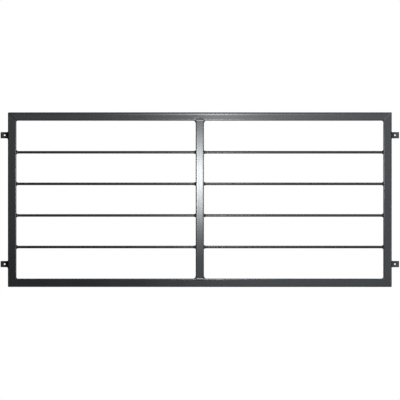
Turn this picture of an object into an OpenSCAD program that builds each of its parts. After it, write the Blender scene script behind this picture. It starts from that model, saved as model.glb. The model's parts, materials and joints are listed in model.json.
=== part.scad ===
// Window security bar: a welded grille of square steel tube and round rods.
// A mitred frame with one mullion makes two bays, four rods cross both of them,
// and four lugs screw the grille to a wall.
// +X is to the right, +Z is up and the front faces -Y. The origin is in the
// middle of the four lug holes, on the plane of the wall.

/* [Frame] */
// Width over the two stiles
frame_w = 1154; // [500:1:2400]
// Height over the two rails
frame_h = 525; // [360:1:1500]
// Side of the square tube
tube_side = 25; // [20:0.5:40]
// Wall of the square tube
tube_wall = 1.5; // [1.2:0.1:2]
// Outside radius of the tube's long edges
tube_edge_r = 3; // [2.5:0.1:4]
// Distance of the mullion from the middle of the frame
mullion_x = 0; // [-150:1:150]

/* [Rods] */
// Number of rods, spaced evenly between the rails
rods = 4; // [1:1:8]
// Diameter of a rod
rod_d = 8; // [5:0.1:10]
// Play between a rod and the edge of its hole
rod_play = 0.1; // [0.05:0.05:0.3]
// Length of rod that goes into each stile
rod_entry = 4; // [3:0.5:12]

/* [Lugs] */
// Width of the lug's flat bar
lug_w = 19; // [14:0.5:30]
// Thickness of the lug's flat bar
lug_t = 5; // [4.5:0.5:8]
// Length of lug that stands out from the stile
lug_reach = 23; // [20:0.5:60]
// Radius of the lug's outer corners
lug_corner_r = 1; // [0.5:0.1:4]
// Distance of a lug's middle from the top or bottom of the frame
lug_inset = 68.5; // [40:0.5:140]
// Diameter of the screw hole
lug_hole_d = 5; // [4:0.1:9]
// Distance of the screw hole from the stile
lug_hole_out = 10.5; // [10:0.5:15]

/* [Welds] */
// Width of the ground seam along a mitre
seam_w = 3; // [1:0.5:5]
// Depth of the ground seam, less than the tube's wall
seam_depth = 1; // [0.5:0.1:1.1]
// Leg of the fillet weld inside each corner of the frame
corner_leg = 5; // [2:0.5:8]
// Leg of a mullion weld along the rail
mullion_weld_run = 5.5; // [2:0.5:10]
// Leg of a mullion weld along the mullion
mullion_weld_rise = 8.5; // [2:0.5:12]
// Narrow end of the hollow over a tube's rounded edge, which weld doesn't reach
groove_root = 0.8; // [0.5:0.1:1.5]
// Distance of a fillet weld's end from the tube's rounded edge
weld_set_in = 0.5; // [0.2:0.1:2]
// Leg of a rod weld on the face of the stile
stile_weld_leg = 3; // [1.5:0.1:5]
// Length of a rod weld along the rod, at the stile
stile_weld_len = 4.5; // [2:0.5:8]
// Leg of a rod weld on the face of the mullion
mullion_rod_leg = 2; // [1.5:0.1:5]
// Length of a rod weld along the rod, at the mullion
mullion_rod_len = 5.5; // [2:0.5:8]
// Thickness of a rod weld where it runs out on the rod
weld_edge = 0.3; // [0.2:0.1:1]
// Leg of a lug weld along the lug
lug_weld_run = 3.5; // [2:0.5:5]
// Leg of a lug weld along the stile
lug_weld_rise = 3; // [2:0.5:6]

/* [Hidden] */
$fn = 64;
paint = "#3e4245";
weld_paint = "#484c4f";

// Extra length of anything that cuts, so that it passes the surface it cuts
over = 1;
half_w = frame_w / 2;
half_h = frame_h / 2;
clear_w = frame_w - 2 * tube_side;
clear_h = frame_h - 2 * tube_side;
tube_mid = -tube_side / 2;
flat_w = tube_side - 2 * tube_edge_r;
fillet_w = flat_w - 2 * weld_set_in;
groove_fill = tube_edge_r - groove_root;
rod_r = rod_d / 2;
rod_hole_r = rod_r + rod_play;
rod_pitch = clear_h / (rods + 1);
rod_z = [for (i = [1:rods]) clear_h / 2 - i * rod_pitch];
// Length along the bar by which its outer skin stops short of the mitre
mitre_back = seam_w / 2 * sqrt(2);
lug_z = half_h - lug_inset;
lug_weld_w = lug_w + 2 * lug_weld_rise;

levels = ["upper", "lower"];
sides = ["left", "right"];
weld_spots = ["left", "mid_left", "mid_right", "right"];

// ---- Profiles and cuts ----

// Section of the tube, or of the tube with its skin taken down by inset
module tube_section(inset = 0) {
    side = tube_side - 2 * inset;
    r = tube_edge_r - inset;
    square([side, side - 2 * r], center = true);
    square([side - 2 * r, side], center = true);
    for (x = [-1, 1], y = [-1, 1])
        translate([x, y] * (side / 2 - r)) circle(r);
}

// Solid bar of the tube's section along X, with its outer face at z = 0 and its back at y = 0
module bar_along_x(length, inset = 0) {
    translate([-length / 2, tube_mid, tube_mid])
        rotate([90, 0, 90]) linear_extrude(length) tube_section(inset);
}

// Shape drawn in x and z, and carried through the whole depth of the tube and past both faces
module through_depth() {
    translate([0, over, 0]) rotate([90, 0, 0]) linear_extrude(tube_side + 2 * over) children();
}

// Outline that cuts both ends of a bar at 45 degrees, stopping short of the mitre by back
module mitre_outline(length, back = 0) {
    outer = length / 2 + over - back;
    inner = length / 2 - tube_side - over - back;
    polygon([[-outer, over], [outer, over], [inner, -tube_side - over], [-inner, -tube_side - over]]);
}

// Tube along X with mitred ends, whose outer skin stops short to leave room for the seam
module mitred_tube(length) {
    difference() {
        union() {
            intersection() {
                bar_along_x(length);
                through_depth() mitre_outline(length, mitre_back);
            }
            intersection() {
                bar_along_x(length, seam_depth);
                through_depth() mitre_outline(length);
            }
        }
        bar_along_x(length, tube_wall);
    }
}

// Copies its children, made for the top or the left, to the other end when flip is true
module flip_x(flip) { mirror([flip ? 1 : 0, 0, 0]) children(); }
module flip_z(flip) { mirror([0, 0, flip ? 1 : 0]) children(); }

// Cylinder along X at the height of one rod, starting at x
module along_rod(i, x, length, r1, r2) {
    translate([x, tube_mid, rod_z[i - 1]]) rotate([0, 90, 0]) cylinder(length, r1, r2);
}

// ---- Tubes ----

module rail(bottom) {
    color(paint) flip_z(bottom) translate([0, 0, half_h]) mitred_tube(frame_w);
}

module stile(right) {
    color(paint) flip_x(right) difference() {
        translate([-half_w, 0, 0]) rotate([0, -90, 0]) mitred_tube(frame_h);
        for (i = [1:rods])
            along_rod(i, -half_w + tube_side / 2, tube_side / 2 + over, rod_hole_r, rod_hole_r);
    }
}

module mullion() {
    color(paint) difference() {
        translate([mullion_x, tube_mid, -clear_h / 2]) linear_extrude(clear_h) difference() {
            tube_section();
            tube_section(tube_wall);
        }
        for (i = [1:rods])
            along_rod(i, mullion_x - tube_side / 2 - over, tube_side + 2 * over, rod_hole_r, rod_hole_r);
    }
}

// ---- Rods and lugs ----

module rod(i) {
    length = clear_w + 2 * rod_entry;
    color(paint) along_rod(i, -length / 2, length, rod_r, rod_r);
}

module lug(lower, right) {
    color(paint) flip_x(right) flip_z(lower) translate([-half_w, 0, lug_z]) difference() {
        rotate([90, 0, 0]) linear_extrude(lug_t) lug_outline();
        translate([-lug_hole_out, over, 0]) rotate([90, 0, 0])
            cylinder(lug_t + 2 * over, d = lug_hole_d);
    }
}

// Lug seen from the front, with its root at x = 0 and its outer corners rounded
module lug_outline() {
    straight = lug_reach - lug_corner_r;
    translate([-straight, -lug_w / 2]) square([straight, lug_w]);
    translate([-lug_reach, -lug_w / 2 + lug_corner_r])
        square([lug_corner_r, lug_w - 2 * lug_corner_r]);
    for (z = [-1, 1])
        translate([-straight, z * (lug_w / 2 - lug_corner_r)]) circle(lug_corner_r);
}

// ---- Welds ----

// Corner of the frame with its outer point at x = 0, z = 0: the seam round the end of the rail
module seam_half() {
    intersection() {
        translate([tube_side, 0, 0]) difference() {
            bar_along_x(4 * tube_side);
            bar_along_x(4 * tube_side, seam_depth);
        }
        through_depth() polygon([
            [-over, over],
            [-over + mitre_back, over],
            [tube_side + over + mitre_back, -tube_side - over],
            [tube_side + over, -tube_side - over]
        ]);
    }
}

// Triangular fillet in the corner at x = 0, z = 0, across the flat of the tube
module flat_fillet(run, rise) {
    translate([0, tube_mid + fillet_w / 2, 0]) rotate([90, 0, 0]) linear_extrude(fillet_w)
        polygon([[0, 0], [run, 0], [0, -rise]]);
}

module corner_weld(lower, right) {
    color(weld_paint) flip_x(right) flip_z(lower) translate([-half_w, 0, half_h]) {
        seam_half();
        mirror([1, 0, 1]) seam_half();
        translate([tube_side, 0, -tube_side]) flat_fillet(corner_leg, corner_leg);
    }
}

// Weld in the hollow between the mullion's end and the rounded edges of the rail
module mullion_groove_fill() {
    difference() {
        translate([0, tube_mid, 0]) linear_extrude(tube_edge_r) tube_section();
        translate([0, 0, tube_side]) bar_along_x(2 * tube_side);
        translate([-tube_side, -tube_side + groove_fill, -over])
            cube([2 * tube_side, tube_side - 2 * groove_fill, tube_edge_r + 2 * over]);
    }
}

module mullion_weld(bottom) {
    color(weld_paint) flip_z(bottom) translate([mullion_x, 0, clear_h / 2]) {
        mullion_groove_fill();
        for (right = [false, true])
            flip_x(right) translate([-tube_side / 2, 0, 0]) mirror([1, 0, 0])
                flat_fillet(mullion_weld_run, mullion_weld_rise);
    }
}

// Weld all round a lug's root: fillets in front and at both edges, and a filled hollow behind
module lug_weld(lower, right) {
    from_above = [
        [0, -lug_t - lug_weld_rise],
        [-lug_weld_run, -lug_t],
        [-lug_weld_run, 0],
        [tube_edge_r, 0],
        [tube_edge_r, -groove_fill],
        [0, -groove_fill]
    ];
    from_front = [
        [tube_edge_r, lug_weld_w / 2],
        [0, lug_weld_w / 2],
        [-lug_weld_run, lug_w / 2],
        [-lug_weld_run, -lug_w / 2],
        [0, -lug_weld_w / 2],
        [tube_edge_r, -lug_weld_w / 2]
    ];
    color(weld_paint) flip_x(right) flip_z(lower) translate([-half_w, 0, lug_z]) difference() {
        intersection() {
            translate([0, 0, -lug_weld_w / 2]) linear_extrude(lug_weld_w) polygon(from_above);
            through_depth() polygon(from_front);
        }
        translate([-lug_reach, -lug_t, -lug_w / 2]) cube([lug_reach, lug_t + over, lug_w]);
        rotate([0, -90, 0]) bar_along_x(2 * lug_weld_w);
    }
}

// Weld round a rod that tapers along +X from a face at x
module rod_weld_cone(i, x, leg, length) {
    difference() {
        along_rod(i, x, length, min(rod_r + leg, flat_w / 2), rod_r + weld_edge);
        along_rod(i, x - over, length + 2 * over, rod_r, rod_r);
    }
}

module rod_weld(i, spot) {
    color(weld_paint) {
        if (spot == "left") rod_weld_cone(i, -clear_w / 2, stile_weld_leg, stile_weld_len);
        if (spot == "right") flip_x(true) rod_weld_cone(i, -clear_w / 2, stile_weld_leg, stile_weld_len);
        if (spot == "mid_right")
            rod_weld_cone(i, mullion_x + tube_side / 2, mullion_rod_leg, mullion_rod_len);
        if (spot == "mid_left")
            flip_x(true) rod_weld_cone(i, tube_side / 2 - mullion_x, mullion_rod_leg, mullion_rod_len);
    }
}

rail(false);  // top_rail
rail(true);  // bottom_rail
stile(false);  // left_stile
stile(true);  // right_stile
mullion();
mullion_weld(false);  // mullion_top_weld
mullion_weld(true);  // mullion_bottom_weld
for (v = levels, s = sides) {
    lug(v == "lower", s == "right");
    lug_weld(v == "lower", s == "right");
    corner_weld(v == "lower", s == "right");
}
for (i = [1:rods]) {
    rod(i);
    for (spot = weld_spots)
        rod_weld(i, spot);
}
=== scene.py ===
"""Looks of the window security bar: satin paint on square tube, rods, lugs and weld beads."""

import json
import math

import bmesh
import bpy
from mathutils import Matrix, Vector, noise


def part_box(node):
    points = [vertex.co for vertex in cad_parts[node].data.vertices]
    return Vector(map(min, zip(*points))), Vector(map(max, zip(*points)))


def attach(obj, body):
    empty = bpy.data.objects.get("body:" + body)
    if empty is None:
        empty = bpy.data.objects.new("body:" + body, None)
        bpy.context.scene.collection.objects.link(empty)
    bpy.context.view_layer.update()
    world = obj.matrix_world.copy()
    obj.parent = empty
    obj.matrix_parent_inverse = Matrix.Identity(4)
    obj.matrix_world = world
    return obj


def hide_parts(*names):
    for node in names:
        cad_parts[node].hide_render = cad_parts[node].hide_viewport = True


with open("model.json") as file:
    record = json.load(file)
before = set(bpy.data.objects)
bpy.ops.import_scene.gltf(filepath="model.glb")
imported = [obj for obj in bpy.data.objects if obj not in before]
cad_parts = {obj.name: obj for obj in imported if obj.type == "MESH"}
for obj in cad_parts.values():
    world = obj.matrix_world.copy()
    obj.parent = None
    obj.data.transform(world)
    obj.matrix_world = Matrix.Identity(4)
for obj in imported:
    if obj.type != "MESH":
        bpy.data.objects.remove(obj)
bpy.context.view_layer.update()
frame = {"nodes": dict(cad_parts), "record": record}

MM = 0.001

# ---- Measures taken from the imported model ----

rail_lo, rail_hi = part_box("top_rail")
mullion_lo, mullion_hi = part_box("mullion")
HALF_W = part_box("right_stile")[1].x
HALF_H = rail_hi.z
SIDE = rail_hi.y - rail_lo.y
FRONT, BACK = rail_lo.y, rail_hi.y
MID_Y = (FRONT + BACK) / 2
MULLION_X = (mullion_lo.x + mullion_hi.x) / 2
INNER_H = HALF_H - SIDE

# ---- Measures of the finish, in metres ----

EDGE_R = 3 * MM
HOLLOW_RUN = 3.4 * MM
SHOULDER_RUN = 6.4 * MM
TWIST_STEPS = 48
FRAME_HOLLOW = 0.06 * MM
TOP_SHOULDER = 0.26 * MM
HEAT_REACH = 0.03  # as a share of half the rail
MULLION_HOLLOW = 0.05 * MM
SHARP_ANGLE = math.radians(38)

RIPPLE_PITCH = 1.6 * MM
RIPPLE_HEIGHT = 0.22 * MM
RIPPLE_STEPS = 6
RIPPLE_BOW = 0.35
ARC_STEPS = 8
BEAD_SINK = 0.4 * MM
BEAD_TAPER = 1.6 * MM
FLUSH = 0.05 * MM
FILL_DEPTH = 2.6 * MM
CAP_DIP = 0.12 * MM

ROD_BEAD_HOLLOW = 0.25
NUGGET_LENGTH = 5.5 * MM
NUGGET_HALF_WIDTH = 2.1 * MM
NUGGET_LIFT = 0.6 * MM
NUGGET_DEPTH = 1.2 * MM

MULLION_LEGS = (5.5 * MM, 8.5 * MM)
MULLION_BEAD_HOLLOW = 0.7
MULLION_BEAD_INSET = 0.6 * MM
JOINT_HALF_LENGTH = 11.2 * MM
JOINT_HALF_WIDTH = 3.4 * MM
JOINT_LIFT = 0.34 * MM

SMEAR_HALF_WIDTH = 2.0 * MM
SMEAR_LIFT = 0.34 * MM
SMEAR_DEPTH = 1.0 * MM

LUG_BEAD_TURN = 1.2 * MM
LUG_BEAD_HOLLOW = 0.3

CORNER_BEAD_HOLLOW = 0.8
CORNER_BEAD_INSET = 1.2 * MM
LINE_INSET = 2.6 * MM
LINE_HALF_WIDTH = 1.1 * MM
LINE_LIFT = 0.12 * MM

MITRE_GAP = 1.6 * MM
SEAM_REACH = 2.4 * MM
SEAM_BURIED = 0.9 * MM
CORNER_ROUND = 2.0 * MM

SEAM_SINK = 0.22 * MM
SEAM_RUB = 0.05 * MM

LUG_BEVEL = 0.45 * MM
LUG_CORNER_R = 1.0 * MM
LUG_STEPS = 72

PAINT_RELIEF = 0.06 * MM
PATCH_EDGE = 2.5 * MM


# ---- Shaders ----

class Value:
    """One socket of a shader, with arithmetic that adds Math nodes."""

    def __init__(self, tree, socket):
        self.tree = tree
        self.socket = socket

    def math(self, operation, *others):
        inputs = dict(enumerate([self, *others]))
        return self.tree.add("ShaderNodeMath", {"operation": operation}, inputs)

    def __add__(self, other):
        return self.math("ADD", other)

    def __mul__(self, other):
        return self.math("MULTIPLY", other)

    def __sub__(self, other):
        return self.math("SUBTRACT", other)

    def __rsub__(self, other):
        return (self * -1) + other

    def __pow__(self, other):
        return self.math("POWER", other)

    __radd__ = __add__
    __rmul__ = __mul__


class Tree:
    """Node tree of a material or the world."""

    def __init__(self, owner):
        owner.use_nodes = True
        self.nodes = owner.node_tree.nodes
        self.links = owner.node_tree.links
        self.nodes.clear()

    def add(self, kind, settings=None, sockets=None, output=0):
        """Node of that type: its settings first, then the values or links of its sockets."""
        made = self.nodes.new(kind)
        for name, setting in (settings or {}).items():
            setattr(made, name, setting)
        for key, given in (sockets or {}).items():
            if isinstance(given, Value):
                self.links.new(given.socket, made.inputs[key])
            else:
                made.inputs[key].default_value = given
        return Value(self, made.outputs[output]) if made.outputs else None

    def split(self, vector):
        parts = self.add("ShaderNodeSeparateXYZ", sockets={0: vector}).socket.node.outputs
        return [Value(self, part) for part in parts]

    def grain(self, place, scale, detail=2.0, roughness=0.5):
        """Noise from 0 to 1 with that many cells in a metre."""
        return self.add("ShaderNodeTexNoise", None,
                        {"Vector": place, "Scale": scale, "Detail": detail, "Roughness": roughness})

    def stretched(self, place, scale):
        return self.add("ShaderNodeVectorMath", {"operation": "MULTIPLY"}, {0: place, 1: scale})

    def blend(self, factor, low, high):
        """Colour between low and high."""
        return self.add("ShaderNodeMix", {"data_type": "RGBA"},
                        {0: factor, 6: low, 7: high}, output=2)

    def step(self, value, start, end):
        """0 below start, 1 above end and smooth between them."""
        return self.add("ShaderNodeMapRange", {"interpolation_type": "SMOOTHSTEP"},
                        {"Value": value, "From Min": start, "From Max": end})


def satin_paint(name, along, base=0.034, roughness=0.235, spatter=0.0, dressed=()):
    """Anthracite powder coat.

    along says for each axis whether the bar was drawn that way, and dressed lists the patches
    ground by hand.
    """
    material = bpy.data.materials.new(name)
    tree = Tree(material)
    place = tree.add("ShaderNodeTexCoord", output=3)
    cloud = tree.grain(place, 14, detail=3)
    fleck = tree.grain(place, 900, detail=2)
    peel = tree.grain(place, 420, detail=1.5)
    lines = tree.grain(tree.stretched(place, [4 if part else 1400 for part in along]), 1, detail=3)

    tint = tree.step(cloud * 0.6 + fleck * 0.25 + lines * 0.15, 0.32, 0.68)
    gloss = cloud * 0.05 + fleck * 0.03 + (roughness - 0.04)
    relief = peel * 0.55 + lines * 0.2 + fleck * 0.1
    if spatter:
        drops = tree.add("ShaderNodeTexVoronoi", {"feature": "SMOOTH_F1"},
                         {"Vector": place, "Scale": 1100, "Smoothness": 0.6})
        relief = relief + drops * spatter
    if dressed:
        scratches, patch = ground_patch(tree, place, dressed)
        relief = relief + scratches * patch * 1.6
        gloss = gloss + patch * (scratches * 0.12 - 0.02)
        tint = tint + patch * scratches * 0.8
    dark = (base * 0.92, base * 0.95, base * 0.98, 1)
    light = (base * 1.09, base * 1.12, base * 1.16, 1)
    bump = tree.add("ShaderNodeBump", None,
                    {"Strength": 0.3, "Distance": PAINT_RELIEF, "Height": relief})
    surface = tree.add("ShaderNodeBsdfPrincipled", None, {
        "Base Color": tree.blend(tint, dark, light),
        "Roughness": gloss,
        "Normal": bump,
        "IOR": 1.5,
    })
    tree.add("ShaderNodeOutputMaterial", None, {"Surface": surface})
    return material


def ground_patch(tree, place, patches):
    """Scratches that rise to the right, and how much they show.

    Each of patches is (low x, high x, low z, high z).
    """
    turned = tree.add("ShaderNodeMapping", {"vector_type": "TEXTURE"},
                      {"Vector": place, "Rotation": (0, math.radians(-35), 0)})
    drawn = tree.grain(tree.stretched(turned, (90, 1, 1500)), 1, detail=2)
    scratches = tree.step(drawn, 0.42, 0.62)
    x, _, z = tree.split(place)
    shown = None
    soft = PATCH_EDGE
    for low_x, high_x, low_z, high_z in patches:
        patch = (tree.step(x, low_x - soft, low_x + soft)
                 * tree.step(x, high_x + soft, high_x - soft)
                 * tree.step(z, low_z - soft, low_z + soft)
                 * tree.step(z, high_z + soft, high_z - soft))
        shown = patch if shown is None else shown.math("MAXIMUM", patch)
    return scratches, shown * tree.step(tree.grain(place, 260), 0.38, 0.6)


# ---- Meshes ----

def shell(bm, rings, closed):
    """Skin through rings of points, none of them past the wall.

    A closed one joins up, and others get flat ends.
    """
    loops = [
        [bm.verts.new((point.x, min(point.y, BACK), point.z)) for point in ring]
        for ring in rings
    ]
    pairs = list(zip(loops, loops[1:]))
    if closed:
        pairs.append((loops[-1], loops[0]))
    for near, far in pairs:
        for k in range(len(near)):
            bm.faces.new((near[k - 1], near[k], far[k], far[k - 1]))
    if not closed:
        bm.faces.new(loops[0])
        bm.faces.new(loops[-1])


def piece(name, shells, material, slot, *nodes):
    """Object made of shells, each (rings, closed), that stands for those CAD nodes."""
    bm = bmesh.new()
    for rings, closed in shells:
        shell(bm, rings, closed)
    bmesh.ops.recalc_face_normals(bm, faces=bm.faces)
    mesh = bpy.data.meshes.new(name)
    bm.to_mesh(mesh)
    bm.free()
    mesh.shade_smooth()
    mesh.set_sharp_from_angle(angle=SHARP_ANGLE)
    mesh.materials.append(material)
    made = bpy.data.objects.new(name, mesh)
    bpy.context.scene.collection.objects.link(made)
    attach(made, "root")
    if nodes:
        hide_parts(*nodes)
    return made


def wave(seed, place):
    """Slow wobble from -1 to 1, in steps of about a ripple."""
    return noise.noise(Vector((place / RIPPLE_PITCH * 0.7, seed * 3.7, seed * 1.3)))


def edge_drop(y):
    """How far the tube's rounded edge has fallen away from its side face at y."""
    past = max(0.0, abs(y - MID_Y) - (SIDE / 2 - EDGE_R))
    return EDGE_R - math.sqrt(max(0.0, EDGE_R ** 2 - past ** 2))


# ---- Tubes ----

def tube_section(face_steps, hollow_depth, shoulder=0.0):
    """Points round the tube, with slightly hollow faces, as (y, depth below its outer face).

    A shoulder leaves the front face that much lower than its outer edge instead.
    """
    flat = SIDE / 2 - EDGE_R
    points = []
    for quarter in range(4):
        turn = Matrix.Rotation(quarter * math.pi / 2, 2)
        stepped = shoulder > 0 and quarter == 2
        for u in face_steps:
            if stepped:
                hollow = shoulder * eased((flat + u) / SHOULDER_RUN)
            else:
                hollow = hollow_depth * eased((flat - abs(u)) / HOLLOW_RUN)
            points.append(turn @ Vector((SIDE / 2 - hollow, u)))
        first = math.acos(1 - shoulder / EDGE_R) if stepped else math.pi / 16
        for step in range(7):
            angle = first + (math.pi * 7 / 16 - first) * step / 6
            arc = Vector((flat, flat)) + EDGE_R * Vector((math.cos(angle), math.sin(angle)))
            points.append(turn @ arc)
    return [(MID_Y + p.x, SIDE / 2 - p.y) for p in points]


def eased(share):
    """Rises from 0 to 1 as share does, level at both ends."""
    return (1 - math.cos(math.pi * min(1.0, share))) / 2


def face_steps(fine):
    """Places across a tube's flat face: even when fine, else close together only at its edges."""
    flat = SIDE / 2 - EDGE_R
    if fine:
        return [flat * k / 10 for k in range(-10, 11)]
    half = [flat - SHOULDER_RUN * k / 14 for k in range(15)]
    return [-u for u in half] + [0.0] + half[::-1]


PLACES = {
    "top_rail": lambda u, y, d: Vector((u, y, HALF_H - d)),
    "bottom_rail": lambda u, y, d: Vector((u, y, d - HALF_H)),
    "left_stile": lambda u, y, d: Vector((d - HALF_W, y, u)),
    "right_stile": lambda u, y, d: Vector((HALF_W - d, y, u)),
}


def frame_tube(node, half_length, shoulder, lean, material):
    """Tube of the frame with mitred ends, each a little short of its mitre.

    shoulder(share) and lean(share) are its front step and its twist along its length, from -1 to 1.
    """
    rings = []
    for k in range(TWIST_STEPS + 1):
        share = 2 * k / TWIST_STEPS - 1
        turn = Matrix.Rotation(lean(share), 2)
        ring = []
        for y, d in tube_section(face_steps(False), FRAME_HOLLOW, shoulder(share)):
            turned = turn @ Vector((y - MID_Y, d - SIDE / 2))
            along = share * (half_length - d - MITRE_GAP)
            ring.append(PLACES[node](along, MID_Y + turned.x, SIDE / 2 + turned.y))
        rings.append(ring)
    piece(node + "_tube", [(rings, False)], material, "grey_paint", node)


def top_rail_lean(share):
    """Twist that the heat of the mullion's weld left, opposite at its two sides."""
    pull = math.radians(0.52 * math.tanh(share / HEAT_REACH) + 0.07)
    return -pull * (1 - share * share)


def top_rail_shoulder(share):
    """Step in the rail's front face, shallower right of the mullion and gone at the mitres."""
    depth = TOP_SHOULDER * (0.84 - 0.16 * math.tanh(share / HEAT_REACH))
    return depth * min(1.0, (1 - abs(share)) / 0.05)


def none_along(share):
    """No step or twist anywhere."""
    return 0.0


def mullion_tube(hollow_depth, material):
    section = tube_section(face_steps(False), hollow_depth)
    rings = [
        [Vector((MULLION_X - SIDE / 2 + d, y, z)) for y, d in section]
        for z in (-INNER_H, INNER_H)
    ]
    piece("mullion_tube", [(rings, False)], material, "grey_paint", "mullion")


# ---- Lugs ----

def lug_plate(node, material):
    """Flat bar with eased edges, rounded outer corners and a screw hole."""
    lo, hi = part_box(node)
    pattern = next(m["dims"] for m in frame["record"]["mounts"] if m["name"] == "wall_lug_holes")
    hole_x = math.copysign(pattern["spacing_x_mm"] / 2 * MM, lo.x)
    hole = Vector((hole_x, (lo.z + hi.z) / 2))
    hole_r = pattern["hole_r_mm"] * MM
    corner_r = LUG_CORNER_R
    outline = []
    for sx, sz, start in ((1, 1, 0), (-1, 1, 90), (-1, -1, 180), (1, -1, 270)):
        edge_x, edge_z = (hi.x if sx > 0 else lo.x), (hi.z if sz > 0 else lo.z)
        centre = Vector((edge_x - sx * corner_r, edge_z - sz * corner_r))
        for k in range(6):
            angle = math.radians(start + k * 18)
            outline.append(centre + corner_r * Vector((math.cos(angle), math.sin(angle))))
    outline = even_loop(outline, LUG_STEPS)
    middle = Vector(((lo.x + hi.x) / 2, hole.y))
    rings = []
    for point in outline:
        way = point - hole
        out = (point - middle).normalized()
        rim = way.normalized()

        def at(inset, y, base=point, out=out):
            shrunk = base - out * inset
            return Vector((shrunk.x, y, shrunk.y))

        def bore(extra, y, rim=rim):
            edge = hole + rim * (hole_r + extra)
            return Vector((edge.x, y, edge.y))

        ease = LUG_BEVEL
        rings.append([
            bore(0, hi.y - ease / 2), bore(0, lo.y + ease / 2),
            bore(ease * 0.15, lo.y + ease * 0.15), bore(ease * 0.6, lo.y),
            at(ease * 1.6, lo.y), at(ease, lo.y),
            at(ease * 0.3, lo.y + ease * 0.3), at(0, lo.y + ease),
            at(0, hi.y - ease), at(ease * 0.3, hi.y - ease * 0.3),
            at(ease, hi.y), at(ease * 1.6, hi.y),
            bore(ease * 0.6, hi.y), bore(ease * 0.15, hi.y - ease * 0.15),
        ])
    piece(node + "_plate", [(rings, True)], material, "grey_paint", node)


def even_loop(points, count):
    """The closed line through points, with count points at equal distances."""
    ends = points[1:] + points[:1]
    lengths = [(b - a).length for a, b in zip(points, ends)]
    total = sum(lengths)
    even = []
    for k in range(count):
        left = total * k / count
        for a, b, length in zip(points, ends, lengths):
            if left <= length:
                even.append(a.lerp(b, left / length) if length else a.copy())
                break
            left -= length
    return even


# ---- Weld beads ----

def bead(length, closed, section, seed, ripple=RIPPLE_HEIGHT):
    """Rings of a bead, and whether they close.

    section(s, size) gives its visible points, the way it rises, and its buried points.
    """
    count = max(3, round(length / RIPPLE_PITCH))
    steps = count * RIPPLE_STEPS
    rings = []
    for i in range(steps if closed else steps + 1):
        s = length * i / steps
        share = 1.0 if closed else max(0.0, min(1.0, min(s, length - s) / BEAD_TAPER))
        size = max(0.12, math.sqrt(1 - (1 - share) ** 2))
        wobble = 0.0 if closed and i < 2 else 0.07 * wave(seed, s)
        visible, rise, buried = section(s, size * (1 + wobble))
        last = len(visible) - 1
        ring = []
        for k, point in enumerate(visible):
            across = k / last
            phase = i / RIPPLE_STEPS + RIPPLE_BOW * (2 * across - 1) ** 2
            crest = abs(math.sin(math.pi * phase)) * math.sin(math.pi * across) ** 0.7
            ring.append(point + rise * (ripple * size * crest))
        rings.append(ring + buried)
    return rings, closed


def fillet(root, a, b, leg_a, leg_b, hollow, size):
    """Section of a bead in the corner at root, with a leg along each of the faces a and b.

    It is flat when hollow is 0, and a quarter circle cut into it when hollow is 1.
    """
    leg_a, leg_b = leg_a * size, leg_b * size
    points = []
    for k in range(ARC_STEPS + 1):
        t = k / ARC_STEPS
        angle = t * math.pi / 2
        chord = Vector((1 - t, t))
        curve = Vector((1 - math.sin(angle), 1 - math.cos(angle)))
        share = chord.lerp(curve, hollow)
        points.append(root + a * (share.x * leg_a) + b * (share.y * leg_b))
    rise = (a * leg_b + b * leg_a).normalized()
    buried = [
        root - a * BEAD_SINK + b * leg_b,
        root - (a + b) * BEAD_SINK,
        root + a * leg_a - b * BEAD_SINK,
    ]
    return points, rise, buried


def cap(centre, across, out, half_width, height, depth, size, blend=1):
    """Section of a bead that lies over a groove and fills it.

    A blend of 2 lets its sides run out level.
    """
    points = []
    for k in range(ARC_STEPS + 1):
        u = 2 * k / ARC_STEPS - 1
        lift = height * (1 - u * u) ** blend * size - CAP_DIP * (1 - size)
        points.append(centre + across * (u * half_width * (0.6 + 0.4 * size)) + out * lift)
    buried = [centre + across * (side * half_width * 0.5) - out * depth for side in (1, -1)]
    return points, out, buried


def rod_bead(node, spot, material):
    """Bead all round a rod where it meets a tube."""
    lo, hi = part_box(node + "_" + spot + "_weld")
    rod_lo, rod_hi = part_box(node)
    way = 1 if spot in ("left", "mid_right") else -1
    face = lo.x if way > 0 else hi.x
    radius = (rod_hi.z - rod_lo.z) / 2
    centre_z = (rod_lo.z + rod_hi.z) / 2
    run = hi.x - lo.x
    leg = (hi.z - lo.z) / 2 - radius
    seed = sum(map(ord, node + spot))
    length = 2 * math.pi * (radius + leg / 2)

    def section(s, size):
        angle = 2 * math.pi * s / length
        out = Vector((0, math.cos(angle), math.sin(angle)))
        root = Vector((face, MID_Y, centre_z)) + out * radius
        return fillet(root, Vector((way, 0, 0)), out, run, leg, ROD_BEAD_HOLLOW, size)

    shells = [bead(length, True, section, seed)]
    if spot in ("left", "right"):
        shells.append(edge_nugget(face, way, centre_z, seed))
    piece(f"{node}_{spot}_bead", shells, material, "painted_weld", f"{node}_{spot}_weld")


def edge_nugget(face, way, centre_z, seed):
    """Small lump where a rod's bead was started on the stile's rounded front edge."""
    fall = EDGE_R * (1 - math.sqrt(0.5))
    out = Vector((way, -1, 0)).normalized()
    across = Vector((way, 1, 0)).normalized()

    def section(s, size):
        centre = Vector((face - way * fall, FRONT + fall, centre_z - NUGGET_LENGTH / 2 + s))
        return cap(centre, across, out, NUGGET_HALF_WIDTH, NUGGET_LIFT, NUGGET_DEPTH, size)

    return bead(NUGGET_LENGTH, False, section, seed, 0.1 * MM)


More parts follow.
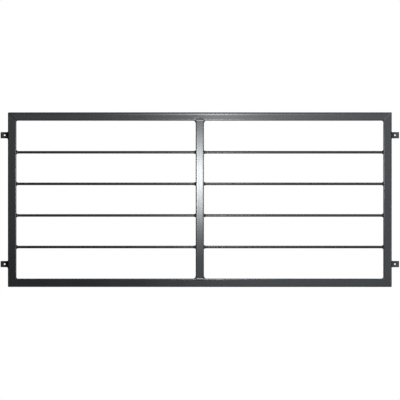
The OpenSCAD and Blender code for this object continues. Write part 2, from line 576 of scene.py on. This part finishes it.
def mullion_bead(level, way, material):
    """Weld at one end of the mullion: fillets at its sides, a cap in front, a flush fill behind."""
    half = SIDE / 2
    shells = []
    for side in (-1, 1):
        start, end = FRONT + MULLION_BEAD_INSET, BACK - MULLION_BEAD_INSET

        def section(s, size, side=side):
            y = start + s
            drop = edge_drop(y)
            root = Vector((MULLION_X + side * (half - drop), y, way * (INNER_H + drop)))
            return fillet(root, Vector((side, 0, 0)), Vector((0, 0, -way)), *MULLION_LEGS,
                          MULLION_BEAD_HOLLOW, size)

        shells.append(bead(end - start, False, section, 11 + side + way))
    reach = JOINT_HALF_LENGTH
    upward = Vector((0, 0, 1))

    def front(s, size):
        centre = Vector((MULLION_X - reach + s, FRONT + FLUSH, way * (INNER_H + 2.4 * MM)))
        return cap(centre, upward, Vector((0, -1, 0)), JOINT_HALF_WIDTH, JOINT_LIFT,
                   FILL_DEPTH, size)

    def behind(s, size):
        centre = Vector((MULLION_X - reach + s, BACK - FLUSH, way * (INNER_H + 1.4 * MM)))
        return cap(centre, upward, Vector((0, 1, 0)), 2.6 * MM, 0.0, FILL_DEPTH, size)

    shells.append(bead(2 * reach, False, front, 17 + way, 0.05 * MM))
    shells.append(bead(2 * reach, False, behind, 19 + way, 0.0))
    if way > 0:
        shells.append(rail_smear(seed=21))
    piece(f"mullion_{level}_bead", shells, material, "painted_weld", f"mullion_{level}_weld")


def rail_smear(seed):
    """Low spindle that the grinder left across the top rail, rising to the right."""
    start = Vector((MULLION_X - 17.4 * MM, FRONT + 0.4 * MM, HALF_H - 21.0 * MM))
    way = Vector((13.4, -0.08, 11.0)) * MM
    across = Vector((-way.z, 0, way.x)).normalized()

    def section(s, size):
        share = math.sin(math.pi * max(0.0, min(1.0, s / way.length))) ** 0.6
        return cap(start + way * (s / way.length), across, Vector((0, -1, 0)),
                   0.4 * MM + SMEAR_HALF_WIDTH * share, SMEAR_LIFT * share, SMEAR_DEPTH, 1.0, 2)

    return bead(way.length, False, section, seed, 0.0)


def lug_bead(node, run, leg, lower_leg, material):
    """Bead round a lug's root in front and at both edges, and a flush fill behind.

    Its leg along the lug is run. Its leg on the stile is leg, or lower_leg under the lug.
    """
    lo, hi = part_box(node)
    way = math.copysign(1, lo.x)
    width, thick = hi.z - lo.z, hi.y - lo.y
    turn = LUG_BEAD_TURN
    bend = turn * math.pi / 2
    edge = thick - turn
    front = width - 2 * turn
    length = 2 * edge + 2 * bend + front
    seed = 23 + way + (lo.z > 0)

    def section(s, size):
        if s < edge:
            y, z, b = -s, hi.z, Vector((0, 0, 1))
        elif s < edge + bend:
            angle = (s - edge) / turn
            b = Vector((0, -math.sin(angle), math.cos(angle)))
            y, z = -edge + b.y * turn, hi.z - turn + b.z * turn
        elif s < edge + bend + front:
            y, z, b = lo.y, hi.z - turn - (s - edge - bend), Vector((0, -1, 0))
        elif s < edge + 2 * bend + front:
            angle = (s - edge - bend - front) / turn
            b = Vector((0, -math.cos(angle), -math.sin(angle)))
            y, z = -edge + b.y * turn, lo.z + turn + b.z * turn
        else:
            y, z, b = -(length - s), lo.z, Vector((0, 0, -1))
        drop = edge_drop(y)
        low = max(0.0, -b.z) ** 2
        leg_b = leg * (1 - low) + lower_leg * low
        root = Vector((way * (HALF_W - drop), min(y, BACK - FLUSH), z))
        return fillet(root, Vector((way, 0, 0)), b, run + drop, leg_b, LUG_BEAD_HOLLOW, size ** 0.5)

    fill = width - 0.6 * MM

    def behind(s, size):
        centre = Vector((way * (HALF_W - 1.3 * MM), BACK - FLUSH, lo.z + 0.3 * MM + s))
        return cap(centre, Vector((1, 0, 0)), Vector((0, 1, 0)), 1.9 * MM, 0.0, FILL_DEPTH, size)

    shells = [bead(length, False, section, seed), bead(fill, False, behind, seed + 1, 0.0)]
    piece(node + "_bead", shells, material, "painted_weld", node + "_weld")


def corner_seam(side_x, side_z, crown, spread, seed):
    """Ground seam round the mitre, whose outer corner is rounded off.

    A crown below 0 is a groove.
    """
    inner = SIDE / 2 - EDGE_R
    rings = []
    for y, d in tube_section(face_steps(True), FRAME_HOLLOW):
        normal = Vector((y - MID_Y, d - SIDE / 2))
        held = Vector((max(-inner, min(inner, normal.x)), max(-inner, min(inner, normal.y))))
        out = (normal - held).normalized()
        round_off = max(0.25 * MM, CORNER_ROUND - d)
        ring = []
        for j in range(-6, 7):
            t = (abs(j) / 6) ** 1.3 * SEAM_REACH
            rub = noise.noise(Vector((y, d, j * 0.4 * MM + seed)) * 900) * SEAM_RUB
            share = math.exp(-(t / spread) ** 2)
            lift = crown * share + rub - SEAM_SINK * (t / SEAM_REACH) ** 4
            depth = d + out.y * lift
            near = max(0.0, round_off - t) ** 2 / (4 * round_off)
            along = (t + near, near)
            across = along if j > 0 else along[::-1]
            ring.append(Vector((
                side_x * (HALF_W - depth - across[0]),
                y + out.x * lift,
                side_z * (HALF_H - depth - across[1]),
            )))
        for t_x, t_z in ((SEAM_REACH, 0), (0, 0), (0, SEAM_REACH)):
            depth = d - out.y * SEAM_BURIED
            ring.append(Vector((side_x * (HALF_W - depth - t_x), y - out.x * SEAM_BURIED,
                                side_z * (HALF_H - depth - t_z))))
        rings.append(ring)
    return rings, True


def corner_bead(node, crown, spread, leg, material):
    """Mitre seam, and the fillet of that leg inside the corner."""
    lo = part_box(node)[0]
    side_x, side_z = math.copysign(1, lo.x), math.copysign(1, lo.z)
    seed = 31 + 3 * side_x + side_z
    start, end = FRONT + CORNER_BEAD_INSET, BACK - CORNER_BEAD_INSET

    def section(s, size):
        y = start + s
        drop = edge_drop(y)
        root = Vector((side_x * (HALF_W - SIDE + drop), y, side_z * (INNER_H + drop)))
        return fillet(root, Vector((-side_x, 0, 0)), Vector((0, 0, -side_z)), leg, leg,
                      CORNER_BEAD_HOLLOW, size)

    shells = [corner_seam(side_x, side_z, crown, spread, seed),
              bead(end - start, False, section, seed, 0.15 * MM)]
    piece(node.replace("_weld", "_bead"), shells, material, "painted_weld", node)


def mitre_line(side_x, material):
    """Thin raised line along the front of an upper mitre; its lighter paint is a painted highlight.
    """
    start = Vector((side_x * (HALF_W - LINE_INSET), FRONT - 0.1 * MM, HALF_H - LINE_INSET))
    way = Vector((-side_x, 0, -1)) * (SIDE - 5.4 * MM)
    across = Vector((side_x, 0, -1)).normalized()

    def section(s, size):
        return cap(start + way * (s / way.length), across, Vector((0, -1, 0)),
                   LINE_HALF_WIDTH, LINE_LIFT, 1.0 * MM, size, 2)

    piece("mitre_line", [bead(way.length, False, section, 41, 0.02 * MM)], material, "painted_weld")


# ---- Build ----

left_patch = (MULLION_X - 19.5 * MM, MULLION_X - 5 * MM, HALF_H - 21 * MM, HALF_H - 10.5 * MM)
right_patch = (MULLION_X + 13 * MM, MULLION_X + 21.6 * MM, HALF_H - 20 * MM, HALF_H - 14 * MM)
rail_paint = satin_paint("rail_paint", (True, False, False), dressed=(left_patch, right_patch))
upright_paint = satin_paint("upright_paint", (False, False, True))
rod_paint = satin_paint("rod_paint", (True, False, False), roughness=0.28)
lug_paint = satin_paint("lug_paint", (True, False, False), roughness=0.36)
bead_paint = satin_paint("bead_paint", (False, False, False), base=0.037, roughness=0.28,
                         spatter=0.5)
# Lighter paint that is a painted highlight: it makes the upper right mitre line look lit, as if its
# ridge caught the light.
mitre_highlight_paint = satin_paint("mitre_highlight_paint", (False, False, False), base=0.11, roughness=0.32)

frame_tube("top_rail", HALF_W, top_rail_shoulder, top_rail_lean, rail_paint)
frame_tube("bottom_rail", HALF_W, none_along, none_along, rail_paint)
for node in ("left_stile", "right_stile"):
    frame_tube(node, HALF_H, none_along, none_along, upright_paint)
mullion_tube(MULLION_HOLLOW, upright_paint)

rods = sorted(n for n in frame["nodes"] if n.startswith("rod_") and not n.endswith("_weld"))
for node in rods:
    frame["nodes"][node].data.materials.clear()
    frame["nodes"][node].data.materials.append(rod_paint)
    for spot in ("left", "mid_left", "mid_right", "right"):
        rod_bead(node, spot, bead_paint)

for level, way in (("top", 1), ("bottom", -1)):
    mullion_bead(level, way, bead_paint)
for level in ("upper", "lower"):
    for side, run, leg, lower_leg in (("left", 3.0, 2.6, 8.0), ("right", 1.6, 1.4, 2.6)):
        lug_plate(f"{level}_{side}_lug", lug_paint)
        lug_bead(f"{level}_{side}_lug", run * MM, leg * MM, lower_leg * MM, bead_paint)

for corner, crown, spread, leg in (
    ("upper_left", -0.95, 1.3, 3.2),
    ("upper_right", 0.12, 1.5, 4.4),
    ("lower_left", -0.15, 0.8, 3.6),
    ("lower_right", 0.1, 1.5, 5.0),
):
    corner_bead(corner + "_corner_weld", crown * MM, spread * MM, leg * MM, bead_paint)
# Upper right mitre line, whose lighter colour is a painted highlight.
mitre_line(1, mitre_highlight_paint)


# ---- Floor, light and camera ----

FLOOR_Z = -1.1
LAMP_Y = -0.93
PANEL_Y = -1.6
WHITE = (1, 1, 1)
CLEAR = (0.97, 1.0, 1.02)
COOL = (0.9, 1.0, 1.1)


def pale_floor():
    """Round pale floor under the grille that fades out at its rim."""
    bm = bmesh.new()
    bmesh.ops.create_circle(bm, cap_ends=True, radius=3.2, segments=96)
    mesh = bpy.data.meshes.new("floor")
    bm.to_mesh(mesh)
    bm.free()
    floor = bpy.data.objects.new("floor", mesh)
    floor.location = (0, 0, FLOOR_Z)
    floor.visible_diffuse = False
    floor.visible_glossy = False
    bpy.context.scene.collection.objects.link(floor)
    material = bpy.data.materials.new("pale_floor")
    tree = Tree(material)
    place = tree.add("ShaderNodeTexCoord", output=3)
    radius = tree.add("ShaderNodeVectorMath", {"operation": "LENGTH"}, {0: place}, output=1)
    speckle = tree.grain(place, 30, detail=3)
    surface = tree.add("ShaderNodeBsdfPrincipled", None, {
        "Base Color": tree.blend(speckle, (0.78, 0.78, 0.78, 1), (0.84, 0.84, 0.83, 1)),
        "Roughness": 0.7,
        "Alpha": 1 - tree.step(radius, 1.6, 3.1),
    })
    tree.add("ShaderNodeOutputMaterial", None, {"Surface": surface})
    mesh.materials.append(material)


def soft_light(name, place, target, size, power, tint=WHITE):
    """Oval lamp, unseen itself, that is size wide and high."""
    data = bpy.data.lights.new(name, "AREA")
    data.shape = "ELLIPSE"
    data.size, data.size_y = size
    data.energy = power
    data.color = tint
    light = bpy.data.objects.new(name, data)
    light.location = place
    light.rotation_mode = "QUATERNION"
    light.rotation_quaternion = (Vector(target) - Vector(place)).to_track_quat("-Z", "Y")
    light.visible_camera = False
    bpy.context.scene.collection.objects.link(light)


def studio_world():
    """White to the eye, and in the paint a dim room, brightest above, behind and low behind."""
    world = bpy.data.worlds.new("studio")
    bpy.context.scene.world = world
    tree = Tree(world)
    way = tree.add("ShaderNodeTexCoord", output=0)
    _, y, z = tree.split(way)
    back = y.math("MAXIMUM", 0.0)
    above = tree.add("ShaderNodeVectorMath", {"operation": "DOT_PRODUCT"},
                     {0: way, 1: (0, -0.2, 0.98)}, output=1)
    low_back = back * tree.step(z, -0.08, -0.3)
    room = above.math("MAXIMUM", 0.0) ** 3 * 0.18 + back * back * 0.3 + low_back * 0.5 + 0.01
    seen = tree.add("ShaderNodeLightPath", output=0)
    level = seen + (1 - seen) * room
    surface = tree.add("ShaderNodeBackground", None, {"Color": (1, 1, 1, 1), "Strength": level})
    tree.add("ShaderNodeOutputWorld", None, {"Surface": surface})


pale_floor()
studio_world()
soft_light("near_lamp", (0.048, LAMP_Y, 0.066), (0.048, 0, 0.066), (0.12, 0.2), 4.2, CLEAR)
soft_light("lamp_strip", (0.1, LAMP_Y, 0.12), (0.1, 0, 0.12), (0.75, 0.2), 1.65, CLEAR)
soft_light("corner_lamp", (0.75, -0.7, 0.64), (0.4, 0, 0.14), (0.5, 0.4), 1.3, COOL)
soft_light("low_right_lamp", (0.95, -0.7, -0.15), (0.45, 0, 0), (0.4, 0.4), 1.4, COOL)
for name, x, z, width, power, tint in (
    ("upper_left_panel", -0.45, 0.35, 0.9, 0.8, WHITE),
    ("left_panel", -0.66, 0.0, 0.5, 0.26, WHITE),
    ("upper_right_panel", 0.45, 0.35, 0.9, 1.65, COOL),
    ("right_panel", 0.66, 0.0, 0.5, 0.5, COOL),
    ("lower_right_panel", 0.4, -0.35, 0.9, 1.0, COOL),
):
    soft_light(name, (x, PANEL_Y, z), (x, 0, z), (width, 0.4), power, tint)
soft_light("back_left_fill", (-1.3, 2.0, 0.9), (0, 0, 0), (1.6, 1.6), 16.0)
soft_light("back_right_fill", (1.3, 2.0, 0.3), (0, 0, 0), (1.6, 1.6), 16.0)
soft_light("floor_lamp", (0, 0, -0.72), (0, 0, FLOOR_Z), (6.4, 6.4), 100.0)

lens, sensor, view_width = 340.0, 36.0, 1.2021
camera_data = bpy.data.cameras.new("camera")
camera_data.lens = lens
camera_data.sensor_width = sensor
camera_data.clip_end = 200
camera = bpy.data.objects.new("camera", camera_data)
camera.location = (0.5 * MM, FRONT - view_width * lens / sensor, -1.05 * MM)
camera.rotation_euler = (math.pi / 2, 0, 0)
bpy.context.scene.collection.objects.link(camera)
bpy.context.scene.camera = camera
bpy.context.scene.view_settings.view_transform = "Standard"
